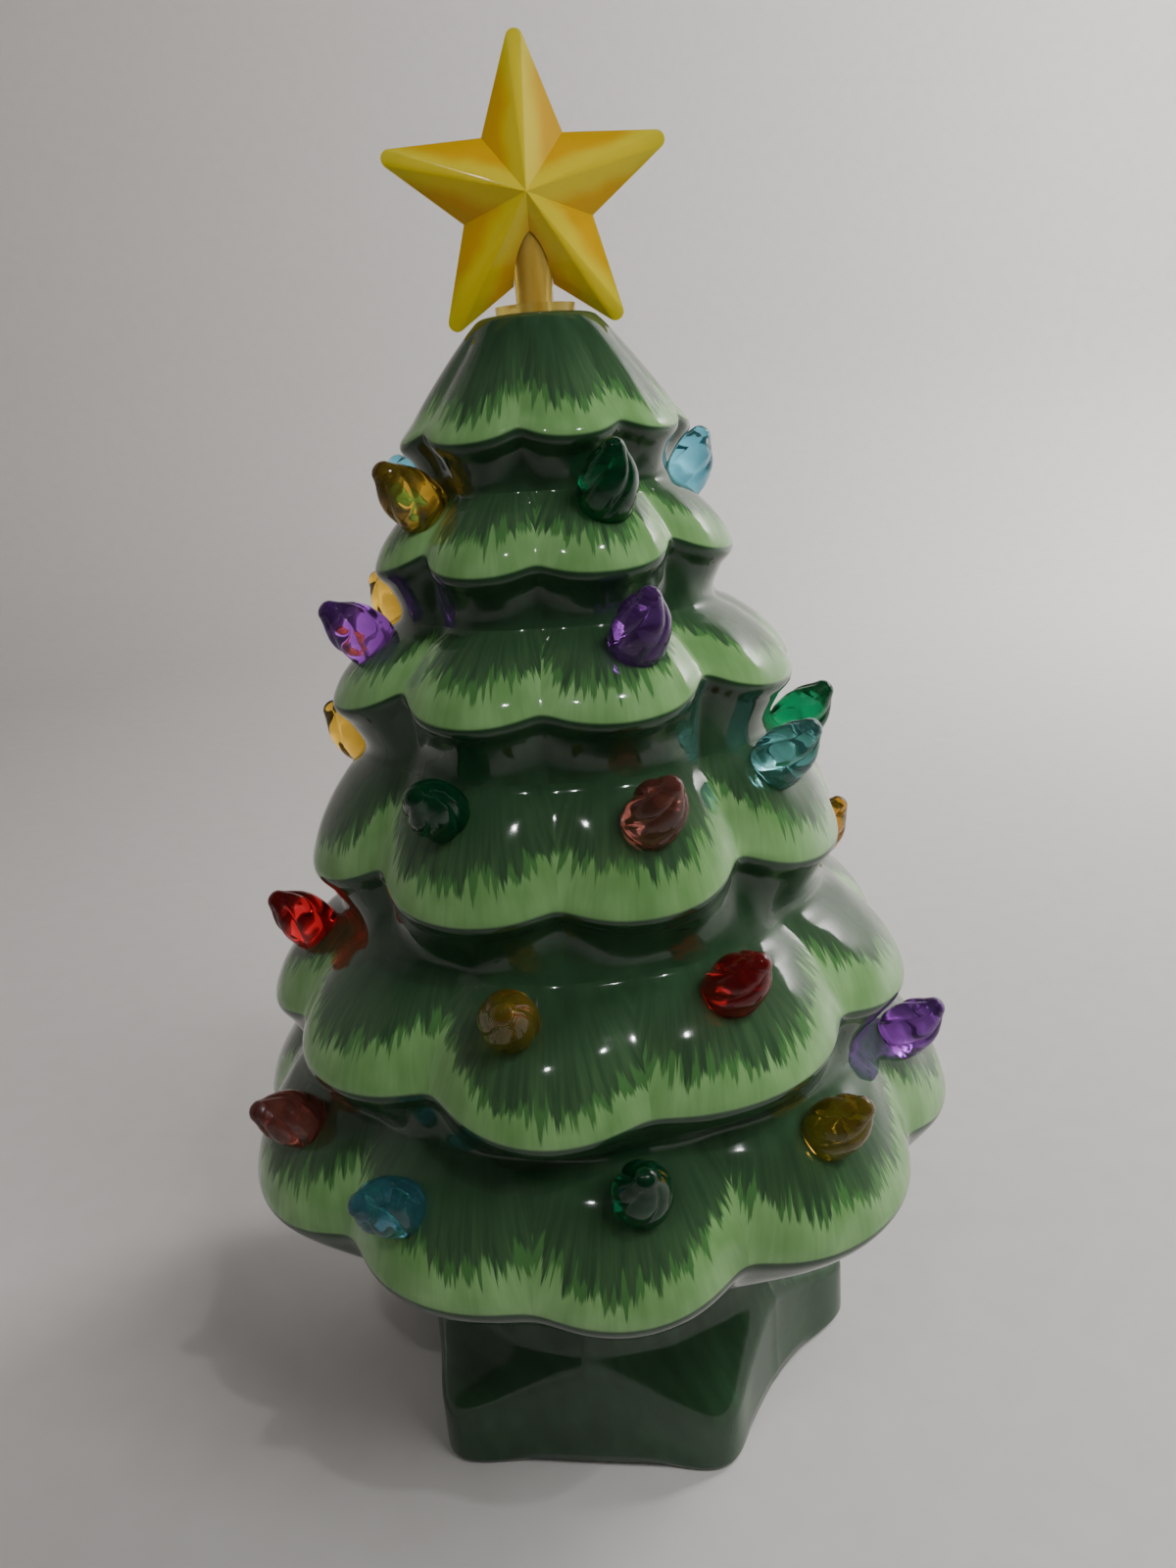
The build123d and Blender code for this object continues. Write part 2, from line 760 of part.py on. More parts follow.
with BuildPart() as positive_contact:
    with BuildSketch(Plane.XY.offset(ledge_top)):
        with Locations((0, clip_place)):
            Rectangle(contact_width, contact_thickness)
    extrude(amount=board_height - ledge_top)
    with BuildSketch(Plane.XY.offset(ledge_top)):
        with Locations((0, clip_foot_place)):
            Rectangle(contact_width, contact_thickness)
    extrude(amount=clip_foot_height)
positive_contact.part.label = "positive_contact"
export_step(positive_contact.part, "parts/positive_contact.step")

# Circuit board on the posts, with its three screws
lamp_places = PolarLocations(lamp_circle, lamp_count, start_angle=lamp_turn)
lead_places = [
    (place.position.X + side * lamp_lead_pitch / 2, place.position.Y)
    for place in lamp_places.locations
    for side in (-1, 1)
]
with BuildPart() as circuit_board:
    with BuildSketch(Plane.XY.offset(board_height)):
        Circle(board_radius)
        with post_places:
            Circle(screw_radius + screw_gap, mode=Mode.SUBTRACT)
        with Locations(*lead_places):
            Circle(lamp_lead_radius + screw_gap, mode=Mode.SUBTRACT)
    extrude(amount=board_thickness)
circuit_board.part.label = "circuit_board"
export_step(circuit_board.part, "parts/circuit_board.step")

with BuildPart() as board_screws:
    with BuildSketch(Plane.XY.offset(board_top)):
        with post_places:
            Circle(screw_head_radius)
    extrude(amount=screw_head_height)
    fillet(board_screws.edges().group_by(Axis.Z)[-1], radius=screw_head_round)
    with BuildSketch(Plane.XY.offset(board_top)):
        with post_places:
            Circle(screw_radius)
    extrude(amount=-screw_length)
    with BuildSketch(Plane.XY.offset(board_top + screw_head_height)):
        with post_places:
            Rectangle(2 * screw_head_radius, screw_slot_width)
    extrude(amount=-screw_slot_depth, mode=Mode.SUBTRACT)
board_screws.part.label = "board_screws"
export_step(board_screws.part, "parts/board_screws.step")

# Lamps: collar, domed lens and two leads in the board
with BuildPart() as lamp:
    with BuildSketch():
        Circle(lamp_collar_radius)
    extrude(amount=lamp_collar_height)
    with BuildSketch():
        Circle(lamp_radius)
    extrude(amount=lamp_height)
    fillet(lamp.edges().group_by(Axis.Z)[-1], radius=lamp_radius - lamp_flat_radius)
    with BuildSketch():
        with Locations((-lamp_lead_pitch / 2, 0), (lamp_lead_pitch / 2, 0)):
            Circle(lamp_lead_radius)
    extrude(amount=-lamp_lead_length)
for number, place in enumerate(lamp_places.locations, start=1):
    placed = lamp.part.moved(Location((place.position.X, place.position.Y, board_top)))
    placed.label = f"lamp_{number}"
    export_step(placed, f"parts/lamp_{number}.step")

# Timer chip and resistor on the board
with BuildPart() as timer_chip:
    with BuildSketch(Plane.XY.offset(board_top)):
        Rectangle(chip_length, chip_width)
    extrude(amount=chip_height)
    chamfer(timer_chip.edges().group_by(Axis.Z)[-1], length=chip_bevel)
timer_chip.part.label = "timer_chip"
export_step(timer_chip.part, "parts/timer_chip.step")

with BuildPart() as resistor:
    with BuildSketch(Plane.XY.offset(board_top + resistor_radius)):
        with BuildLine():
            Polyline(
                (-resistor_length / 2, 0),
                (-resistor_length / 2, resistor_radius),
                (resistor_bulge - resistor_length / 2, resistor_radius),
                (resistor_bulge - resistor_length / 2, resistor_waist),
                (resistor_length / 2 - resistor_bulge, resistor_waist),
                (resistor_length / 2 - resistor_bulge, resistor_radius),
                (resistor_length / 2, resistor_radius),
                (resistor_length / 2, 0),
                close=True,
            )
        make_face()
    revolve(axis=Axis((0, 0, board_top + resistor_radius), (1, 0, 0)))
placed_resistor = resistor.part.moved(Location((0, resistor_place, 0)))
placed_resistor.label = "resistor"
export_step(placed_resistor, "parts/resistor.step")

# Slide switch on the floor, with its slider's nub in the floor's slot
channel_height = slider_height + 2 * slider_gap
with BuildPart() as switch_body:
    with BuildSketch(Plane.XY.offset(floor_top)):
        with Locations((switch_place, 0)):
            Rectangle(switch_width, switch_length)
    extrude(amount=switch_height)
    with BuildSketch(Plane.XY.offset(floor_top)):
        with Locations((switch_place, 0)):
            Rectangle(slider_width + 2 * slider_gap, slider_length + slider_travel + 2 * slider_gap)
    extrude(amount=channel_height, mode=Mode.SUBTRACT)
switch_body.part.label = "switch_body"
export_step(switch_body.part, "parts/switch_body.step")

with BuildPart() as switch_slider:
    with BuildSketch(Plane.XY.offset(floor_top + slider_gap)):
        with Locations((switch_place, -slider_travel / 2)):
            Rectangle(slider_width, slider_length)
    extrude(amount=slider_height)
    with BuildSketch(Plane.XY.offset(ground_gap + slider_gap)):
        with Locations((switch_place, -slider_travel / 2)):
            Rectangle(nub_width, nub_length)
    extrude(amount=unit_floor)
switch_slider.part.label = "switch_slider"
export_step(switch_slider.part, "parts/switch_slider.step")

# Diffuser dome: its spigot plugs into the housing's mouth
dome_inner_radius = unit_radius - dome_wall
dome_spring = unit_height + dome_skirt
dome_top = dome_spring + dome_rise
spigot_outer = unit_inner_radius - dome_spigot_gap
spigot_inner = spigot_outer - dome_wall
spigot_foot = unit_height - dome_spigot_depth
with BuildPart() as light_dome:
    with BuildSketch(Plane.XZ):
        with BuildLine():
            Line((0, dome_top - dome_wall), (0, dome_top))
            TangentArc((0, dome_top), (unit_radius, dome_spring), tangent=(1, 0))
            Polyline(
                (unit_radius, dome_spring),
                (unit_radius, unit_height),
                (spigot_outer, unit_height),
                (spigot_outer, spigot_foot),
                (spigot_inner, spigot_foot),
                (spigot_inner, unit_height + dome_wall),
                (dome_inner_radius, unit_height + dome_wall),
                (dome_inner_radius, dome_spring),
            )
            TangentArc((0, dome_top - dome_wall), (dome_inner_radius, dome_spring), tangent=(1, 0))
        make_face()
    revolve(axis=Axis.Z)
light_dome.part.label = "light_dome"
export_step(light_dome.part, "parts/light_dome.step")
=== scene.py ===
import bpy
import numpy as np
from mathutils import Matrix, Vector


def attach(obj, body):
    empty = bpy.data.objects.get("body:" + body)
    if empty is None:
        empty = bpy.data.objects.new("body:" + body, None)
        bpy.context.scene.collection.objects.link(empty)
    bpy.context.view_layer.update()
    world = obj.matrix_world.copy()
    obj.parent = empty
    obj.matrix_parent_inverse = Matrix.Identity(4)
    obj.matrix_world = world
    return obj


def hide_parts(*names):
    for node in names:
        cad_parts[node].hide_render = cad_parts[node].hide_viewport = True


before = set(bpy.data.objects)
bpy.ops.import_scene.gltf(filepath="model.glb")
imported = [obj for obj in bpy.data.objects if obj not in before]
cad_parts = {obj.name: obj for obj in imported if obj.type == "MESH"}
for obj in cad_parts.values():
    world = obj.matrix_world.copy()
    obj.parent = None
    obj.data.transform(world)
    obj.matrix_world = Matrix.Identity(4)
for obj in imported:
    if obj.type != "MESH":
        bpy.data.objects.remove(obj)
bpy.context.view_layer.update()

# Boughs: the six scalloped tiers of the slip-cast body, in glazed earthenware, cast in one
# with the trunk. Each tier falls from a waist to a rolled rim, grooves draw it in between
# the boughs, and the two front boughs stand out a little.
mm = 0.001


class Tier:
    """One ring of boughs, in millimetres and degrees from the front towards the right."""

    def __init__(self, rim, waist, bow, depth, lift, deep,
                 shallow=(), swell=(0, 0.0), waist_share=0.35):
        self.rim_radius, self.rim_height = rim
        self.waist_radius, self.waist_height = waist
        self.bow, self.depth, self.lift = bow, depth, lift
        self.deep, self.shallow, self.swell = deep, shallow, swell
        self.waist_share = waist_share


crown_height = 191.0
tiers = [
    Tier((65.0, 55.5), (52.0, 75.0), 0.74, 6.5, 0.40,
         (-43, 19, 60, 103, 146, 189, 232, 276), (-11,), (4, 1.8)),
    Tier((57.5, 81.5), (42.5, 98.5), 0.72, 6.0, 0.45,
         (-28, 49, 90, 131, 172, 213, 253, 293), (7,), (-8, 2.5)),
    Tier((46.5, 107.0), (35.0, 126.0), 0.70, 6.0, 0.75,
         (-49, 36, 128, 220), (-5, 82, 174, 266)),
    Tier((39.5, 134.0), (26.5, 147.0), 0.70, 5.5, 0.75,
         (-46, 37, 128, 220), (-6, 82, 174, 267)),
    Tier((30.0, 154.0), (20.0, 166.0), 0.70, 4.4, 0.75,
         (-50, 43, 130, 220), (-6, 88, 175, 265)),
    Tier((23.5, 172.4), (9.0, crown_height), 0.56, 2.0, 1.00,
         (-58, -10, 31, 72, 117, 162, 207, 255), waist_share=0.0),
]
shallow_share, groove_spread, groove_softness, swell_spread = 0.55, 9.0, 3.0, 18.0
lip_inset, lip_drop, lip_share = 2.0, 2.6, 0.9
hem_inset, hem_drop, hem_share = 7.0, 5.0, 0.6
trunk_radius, socket_radius = 32.0, 4.2
crown_rows = ((10.3, 189.5), (9.0, 190.6), (7.2, crown_height), (socket_radius, crown_height))


def turned(angle, place):
    """Degrees from a place round the axis, between -180 and 180."""
    return (angle - place + 180) % 360 - 180


def groove_pull(tier, angle):
    """How far the grooves draw a tier in at each angle, less what a swollen bough stands out."""
    pull = -tier.swell[1] * np.exp(-((turned(angle, tier.swell[0]) / swell_spread) ** 2))
    for places, share in ((tier.deep, 1.0), (tier.shallow, shallow_share)):
        for place in places:
            rounded = np.hypot(turned(angle, place), groove_softness) - groove_softness
            pull = pull + tier.depth * share * np.exp(-rounded / groove_spread)
    return pull


def skirt_point(tier, fall, angle):
    """Radius and height of the skirt at a share of the way from the waist down to the rim."""
    out = (4 * tier.bow - 1) * fall + (2 - 4 * tier.bow) * fall**2
    pull = (1 - (1 - tier.waist_share) * (1 - fall) ** 2) * groove_pull(tier, angle)
    radius = tier.waist_radius + out * (tier.rim_radius - tier.waist_radius) - pull
    drop = fall * (tier.waist_height - tier.rim_height)
    return radius, tier.waist_height - drop + tier.lift * fall**1.5 * pull


def around(angle, radius, height):
    """Points in metres at angles from the front, radii and heights in millimetres."""
    turn = np.radians(angle)
    axes = np.broadcast_arrays(radius * np.sin(turn), -radius * np.cos(turn), height)
    return np.stack(axes, axis=-1) * mm


def smooth_rows(rows, steps):
    """Rows of a Catmull-Rom surface through the given rows."""
    rows = np.asarray(rows)
    spans = np.linalg.norm(np.diff(rows, axis=0), axis=2).mean(axis=1)
    slopes = np.gradient(rows, np.concatenate([[0.0], np.cumsum(spans)]), axis=0)
    fine = []
    for index, span in enumerate(spans):
        for t in np.arange(steps) / steps:
            fine.append(
                (1 + 2 * t) * (1 - t) ** 2 * rows[index] + t * (1 - t) ** 2 * span * slopes[index]
                + t * t * (3 - 2 * t) * rows[index + 1] + t * t * (t - 1) * span * slopes[index + 1])
    return np.array(fine + [rows[-1]])


def skin(name, rows, closed_around=True):
    """Mesh object of quads over rows of points."""
    rows = np.asarray(rows)
    count, width = rows.shape[:2]
    at = np.arange(count * width).reshape(count, width)
    right = np.roll(at, -1, axis=1)
    quads = np.stack([at[:-1], right[:-1], right[1:], at[1:]], axis=-1)
    if not closed_around:
        quads = quads[:, :-1]
    mesh = bpy.data.meshes.new(name)
    mesh.from_pydata(rows.reshape(-1, 3).tolist(), [], quads.reshape(-1, 4).tolist())
    mesh.shade_smooth()
    made = bpy.data.objects.new(name, mesh)
    bpy.context.scene.collection.objects.link(made)
    return made


columns, row_steps = 540, 6
column_step = 360 / columns
column_angles = np.arange(columns) * column_step
flat = np.zeros(columns)
hem = tiers[0]
hem_height = hem.rim_height - hem_drop
hem_radius = hem.rim_radius - hem_inset - hem_share * groove_pull(hem, column_angles)
bough_rings = [(flat + trunk_radius - 2, flat + hem_height), (hem_radius, flat + hem_height)]
ring_tiers, rim_rings = [0, 0], []
for number, tier in enumerate(tiers):
    pull = groove_pull(tier, column_angles)
    lip_height = tier.rim_height - lip_drop + tier.lift * lip_share * pull
    bough_rings.append((tier.rim_radius - lip_inset - lip_share * pull, lip_height))
    rim_rings.append(len(bough_rings))
    falls = (1, 0.78, 0.5, 0.2, 0) if tier.waist_share else (1, 0.78, 0.5, 0.2)
    bough_rings += [skirt_point(tier, fall, column_angles) for fall in falls]
    ring_tiers += [number] * (1 + len(falls))
bough_rings += [(flat + radius, flat + height) for radius, height in crown_rows]
ring_tiers += [number] * len(crown_rows)
bough_rings = np.moveaxis(np.array(bough_rings), 1, 2)
bough_profile = smooth_rows(bough_rings, row_steps)
boughs = skin("boughs", [around(column_angles, row[:, 0], row[:, 1]) for row in bough_profile])

# Brush coordinates of the paint, kept apart at each bough's edges: along the bough, which
# the strokes fan out over, up from the rim, and up from the line where the two greens meet.
stroke_fan, groove_climb = 0.6, 1.1
corner_rows = []
for row in range(len(bough_profile) - 1):
    number = ring_tiers[row // row_steps + 1]
    tier = tiers[number]
    rim_place = rim_rings[number] * row_steps
    bough_edges = np.sort(np.array(tier.deep + tier.shallow) % 360)
    bough = np.searchsorted(bough_edges, column_angles + column_step / 2) % len(bough_edges)
    bough_start, bough_end = bough_edges[bough - 1], bough_edges[bough]
    bough_middle = bough_start + (bough_end - bough_start) % 360 / 2
    tier_height = np.hypot(tier.rim_radius - tier.waist_radius, tier.waist_height - tier.rim_height)
    corners = []
    for down, side in ((row, 0), (row, 1), (row + 1, 1), (row + 1, 0)):
        angle = column_angles + side * column_step
        from_rim = np.linalg.norm(bough_profile[down] - bough_profile[rim_place], axis=1)
        height = np.sign(down - rim_place) * np.roll(from_rim, -side)
        fan = 1 + stroke_fan * (1 - np.clip(height / tier_height, 0, 1))
        along = tier.rim_radius * np.radians(turned(angle, bough_middle)) / fan
        climb = groove_climb * np.maximum(groove_pull(tier, angle), 0)
        corners.append(np.stack([along + 31 * bough + 311 * number, height, height - climb], axis=-1))
    corner_rows.append(np.stack(corners, axis=1))
brush = boughs.data.attributes.new("brush", "FLOAT_VECTOR", "CORNER")
brush.data.foreach_set("vector", np.array(corner_rows, dtype=np.float32).ravel())


def linear(code, alpha=1.0):
    """Linear colour from an sRGB hex value."""
    parts = [int(code[i:i + 2], 16) / 255 for i in (1, 3, 5)]
    return tuple(c / 12.92 if c <= 0.04045 else ((c + 0.055) / 1.055) ** 2.4 for c in parts) + (alpha,)


def add_node(tree, kind, inputs={}, **settings):
    """Adds a node, with its settings, and with values or links on its sockets."""
    made = tree.nodes.new(kind)
    for name, value in settings.items():
        setattr(made, name, value)
    for socket, value in inputs.items():
        if isinstance(value, bpy.types.NodeSocket):
            tree.links.new(value, made.inputs[socket])
        else:
            made.inputs[socket].default_value = value
    return made


def new_material(name):
    """Empty node material and its principled shader, linked to the output."""
    material = bpy.data.materials.new(name)
    material.use_nodes = True
    tree = material.node_tree
    tree.nodes.clear()
    shader = add_node(tree, "ShaderNodeBsdfPrincipled")
    add_node(tree, "ShaderNodeOutputMaterial", {"Surface": shader.outputs[0]})
    return material, tree, shader


# Green underglaze, brushed on and dipped in clear glaze: two greens that meet in needle
# strokes, silky streaks along the fall of the bough, the dark strokes made darker up at the waist as
# painted shade, a plain dark green under the rims made darker as painted shade, and a hard shine with a
# slow ripple.
needle_width, needle_length, needle_reach, clump_reach = 0.85, 40.0, 8.5, 4.0
band_height, band_blur, lip_top, lip_bottom = 5.0, 0.5, 0.7, 0.3
wash_width, wash_length, streak_width, streak_length = 4.5, 11.0, 0.8, 14.0
streaks_from, streaks_to, waist_from, waist_to = 4.0, 17.0, 9.0, 19.0
ripple_size, ripple_depth = 8.0, 0.6
coat_starts = (((0, 0, 0), -0.9), ((57, 3, 0), 0.7))
green_glaze, tree, glaze_shader = new_material("brushed_green_glaze")
painted = add_node(tree, "ShaderNodeAttribute", attribute_name="brush").outputs["Vector"]
brush_axes = add_node(tree, "ShaderNodeSeparateXYZ", {"Vector": painted})
wash_map = add_node(tree, "ShaderNodeMapping", {
    "Vector": painted, "Scale": (1 / wash_width, 1 / wash_length, 0)})
wash = add_node(tree, "ShaderNodeTexNoise", {
    "Vector": wash_map.outputs[0], "Scale": 1.0, "Detail": 2.0, "Roughness": 0.5})
clumps = add_node(tree, "ShaderNodeMapRange", {
    "Value": wash.outputs["Fac"], "To Min": -clump_reach, "To Max": clump_reach})
brushed_edge = add_node(tree, "ShaderNodeMath", {
    0: brush_axes.outputs["Z"], 1: clumps.outputs[0]}, operation="ADD")
coats = []
for start, rise in coat_starts:
    needle_map = add_node(tree, "ShaderNodeMapping", {
        "Vector": painted, "Location": start, "Scale": (1 / needle_width, 1 / needle_length, 0)})
    needles = add_node(tree, "ShaderNodeTexNoise", {
        "Vector": needle_map.outputs[0], "Scale": 1.0, "Detail": 3.0, "Roughness": 0.6})
    needle_lift = add_node(tree, "ShaderNodeMapRange", {
        "Value": needles.outputs["Fac"], "To Min": -needle_reach, "To Max": needle_reach})
    edge = add_node(tree, "ShaderNodeMath", {
        0: brushed_edge.outputs[0], 1: needle_lift.outputs[0]}, operation="ADD")
    coats.append(add_node(tree, "ShaderNodeMapRange", {
        "Value": edge.outputs[0],
        "From Min": band_height + rise - band_blur, "From Max": band_height + rise + band_blur}))
# Below the lip the glaze turns to the under-rim green, which is darkened as painted shade.
under_share = add_node(tree, "ShaderNodeMapRange", {
    "Value": brush_axes.outputs["Y"], "From Min": lip_top, "From Max": lip_bottom})
streak_map = add_node(tree, "ShaderNodeMapping", {
    "Vector": painted, "Scale": (1 / streak_width, 1 / streak_length, 0)})
streaks = add_node(tree, "ShaderNodeTexNoise", {
    "Vector": streak_map.outputs[0], "Scale": 1.0, "Detail": 4.0, "Roughness": 0.6, "Distortion": 0.3})
pale_share = add_node(tree, "ShaderNodeMapRange", {
    "Value": wash.outputs["Fac"], "From Min": 0.3, "From Max": 0.7})
pale_green = add_node(tree, "ShaderNodeMix", {
    "Factor": pale_share.outputs[0], 6: linear("#669254"), 7: linear("#86B073")}, data_type="RGBA")
streak_share = add_node(tree, "ShaderNodeMapRange", {
    "Value": streaks.outputs["Fac"], "From Min": 0.40, "From Max": 0.80})
light_green = add_node(tree, "ShaderNodeMix", {
    "Factor": add_node(tree, "ShaderNodeMath", {
        0: streak_share.outputs[0], 1: 0.35}, operation="MULTIPLY").outputs[0],
    6: pale_green.outputs[2], 7: linear("#4B7A40")}, data_type="RGBA")
streak_fade = add_node(tree, "ShaderNodeMapRange", {
    "Value": brush_axes.outputs["Z"],
    "From Min": streaks_from, "From Max": streaks_to, "To Min": 0.5, "To Max": 0.2})
feather = add_node(tree, "ShaderNodeMath", {
    0: streak_share.outputs[0], 1: streak_fade.outputs[0]}, operation="MULTIPLY")
dark_green = add_node(tree, "ShaderNodeMix", {
    "Factor": feather.outputs[0], 6: linear("#324C33"), 7: linear("#5C8150")}, data_type="RGBA")
# Plain dark green under each rim, made darker than the skirt's dark strokes as painted shade.
under_green_and_shade = add_node(tree, "ShaderNodeMix", {
    "Factor": pale_share.outputs[0], 6: linear("#203924"), 7: linear("#2C4930")}, data_type="RGBA")
# Painted shade: up towards the waist the dark strokes darken towards the under-rim green.
waist_shade = add_node(tree, "ShaderNodeMapRange", {
    "Value": brush_axes.outputs["Y"], "From Min": waist_from, "From Max": waist_to, "To Max": 0.8})
dark_green_with_waist_shade = add_node(tree, "ShaderNodeMix", {
    "Factor": waist_shade.outputs[0],
    6: dark_green.outputs[2], 7: under_green_and_shade.outputs[2]}, data_type="RGBA")
first_coat = add_node(tree, "ShaderNodeMix", {
    "Factor": coats[0].outputs[0], 6: light_green.outputs[2], 7: linear("#47733F")}, data_type="RGBA")
skirt_green = add_node(tree, "ShaderNodeMix", {
    "Factor": coats[1].outputs[0], 6: first_coat.outputs[2], 7: dark_green_with_waist_shade.outputs[2]}, data_type="RGBA")
bough_green = add_node(tree, "ShaderNodeMix", {
    "Factor": under_share.outputs[0],
    6: skirt_green.outputs[2], 7: under_green_and_shade.outputs[2]}, data_type="RGBA")
ripple_place = add_node(tree, "ShaderNodeTexCoord")
ripple = add_node(tree, "ShaderNodeTexNoise", {
    "Vector": ripple_place.outputs["Object"], "Scale": 1 / (ripple_size * mm), "Detail": 2.0})
glaze_wave = add_node(tree, "ShaderNodeBump", {
    "Height": ripple.outputs["Fac"], "Strength": 0.22, "Distance": ripple_depth * mm})
tree.links.new(bough_green.outputs[2], glaze_shader.inputs["Base Color"])
tree.links.new(glaze_wave.outputs[0], glaze_shader.inputs["Normal"])
glaze_shader.inputs["Roughness"].default_value = 0.08
glaze_shader.inputs["IOR"].default_value = 1.5
boughs.data.materials.append(green_glaze)
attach(boughs, "tree")
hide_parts("ceramic_tree")

# Trunk and foot: five wedge toes round a hollow trunk, cast in one with the boughs and
# dipped in the same glaze, which rounds their edges, and in its dark under-rim green, darkened
# as painted shade. The toes' tops slope down to their tips.
toes = ((25, 11.2), (88, 16.5), (168, 14.5), (241, 14.5), (315, 13.3))
valley_radius = trunk_radius + 1.0
toe_tip_height, toe_root_height, trunk_top = 12.5, 20.0, 53.0
toes_from, toes_to, paint_offset = 10.25, 23.0, 100.0
foot_edge, edge_softness, tip_softness = 1.5, 7.0, 4.5
recess_radius, recess_depth = 27.0, 2.6


def soft_least(first, second):
    """Smaller of two arrays, rounded where they cross."""
    share = np.clip(0.5 + 0.5 * (second - first) / edge_softness, 0, 1)
    return second * (1 - share) + first * share - edge_softness * share * (1 - share)


plan = flat
for index, (toe_angle, toe_reach) in enumerate(toes):
    next_angle, next_reach = toes[(index + 1) % len(toes)]
    half = (next_angle - toe_angle) % 360 / 2
    for start, end, place in ((trunk_radius + toe_reach, valley_radius, toe_angle),
                              (valley_radius, trunk_radius + next_reach, toe_angle + half)):
        turn = np.radians((column_angles - place) % 360)
        gap = np.radians(half)
        reach = start * end * np.sin(gap) / (start * np.sin(turn) + end * np.sin(gap - turn))
        plan = np.where(turn < gap, reach, plan)
tip_columns = 18
near = np.arange(-tip_columns, tip_columns + 1)
kernel = np.exp(-0.5 * (near * column_step / tip_softness) ** 2)
wrapped = np.concatenate([plan[-tip_columns:], plan, plan[:tip_columns]])
plan = np.convolve(wrapped, kernel / kernel.sum(), "valid")
apart = np.abs(turned(column_angles[:, None], np.array([angle for angle, _ in toes])[None]))
facing = np.cos(np.radians(apart.min(axis=1)))
nearest_reach = np.array([reach for _, reach in toes])[apart.argmin(axis=1)]
toe_fall = (toe_root_height - toe_tip_height) / nearest_reach
trunk = soft_least(plan, trunk_radius / facing)
foot_rows = [(flat + recess_radius, 0.0), (plan - foot_edge, 0.0)]
for turn in np.radians((25, 50, 75)):
    foot_rows.append((plan - foot_edge * (1 - np.sin(turn)), foot_edge * (1 - np.cos(turn))))
for height in np.concatenate([np.linspace(foot_edge, toes_from - 0.25, 6),
                              np.linspace(toes_from, toes_to, 52),
                              np.linspace(toes_to + 2, trunk_top, 8)]):
    toe = soft_least(plan, (trunk_radius + (toe_root_height - height) / toe_fall) / facing)
    foot_rows.append((-soft_least(-trunk, -toe), height))
foot_points = np.array([around(column_angles, radius, height) for radius, height in foot_rows])
foot = skin("trunk_and_foot", foot_points)
plain = foot_points / mm
# The foot's brush heights all lie below the rims, so it takes the dark under-rim green with its painted
# shade.
below_rims = plain[..., 2] - paint_offset
plain_brush = np.stack([plain[..., 0] + plain[..., 1], below_rims, below_rims], axis=-1)
brush = foot.data.attributes.new("brush", "FLOAT_VECTOR", "POINT")
brush.data.foreach_set("vector", plain_brush.astype(np.float32).ravel())
foot.data.materials.append(green_glaze)
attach(foot, "tree")

# Hollow: the inside of the casting, bare earthenware where the slip drained out, with the
# opening under the foot and the star's socket in the crown.
wall, opening_radius, opening_length, trunk_bore = 4.5, 24.0, 9.0, 26.5
socket_floor, hollow_columns, grit_size, pit_depth = 182.0, 96, 1.2, 0.2
hollow_profile = [(recess_radius, 0.0), (recess_radius, recess_depth), (opening_radius, recess_depth),
                  (opening_radius, opening_length), (trunk_bore, opening_length), (trunk_bore, hem_height)]
for tier in tiers:
    hollow_profile.append((tier.rim_radius - tier.depth - wall, tier.rim_height + lip_drop))
    hollow_profile.append((tier.waist_radius - tier.waist_share * tier.depth - wall, tier.waist_height))
hollow_profile[-1] = (socket_radius + 0.3, socket_floor)
hollow_profile += [(socket_radius, socket_floor), (socket_radius, crown_height)]
hollow_angles = np.arange(hollow_columns) * 360 / hollow_columns
hollow = skin("hollow", [around(hollow_angles, radius, height) for radius, height in hollow_profile])
bisque, tree, shader = new_material("bare_earthenware")
place = add_node(tree, "ShaderNodeTexCoord")
grit = add_node(tree, "ShaderNodeTexNoise", {
    "Vector": place.outputs["Object"], "Scale": 1 / (grit_size * mm), "Detail": 4.0})
clay = add_node(tree, "ShaderNodeMix", {
    "Factor": grit.outputs["Fac"], 6: linear("#D9D0C0"), 7: linear("#EFE8DC")}, data_type="RGBA")
pits = add_node(tree, "ShaderNodeBump", {
    "Height": grit.outputs["Fac"], "Strength": 0.3, "Distance": pit_depth * mm})
tree.links.new(clay.outputs[2], shader.inputs["Base Color"])
tree.links.new(pits.outputs[0], shader.inputs["Normal"])
shader.inputs["Roughness"].default_value = 0.85
hollow.data.materials.append(bisque)
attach(hollow, "tree")

# Bulbs: flames of clear coloured acrylic, five petals twisted round the axis up to a round
# nub, pushed into the glazed holes by hand, so each leans its own way, and glued.
bulb_radius, bulb_length, bulb_sink = 4.4, 11.1, 0.8
bulb_petals, bulb_flute, bulb_twist = 5, 0.13, 100.0
# Share of the length, share of the radius and depth of the creases, from the seat to the tip
bulb_stations = np.array((
    (0.00, 0.88, 0.0), (0.10, 0.96, 0.5), (0.28, 1.00, 1.0), (0.45, 0.97, 1.0), (0.60, 0.86, 1.0),
    (0.72, 0.69, 1.0), (0.82, 0.51, 0.7), (0.90, 0.39, 0.2), (0.955, 0.30, 0.0), (0.985, 0.19, 0.0),
    (1.00, 0.01, 0.0)))
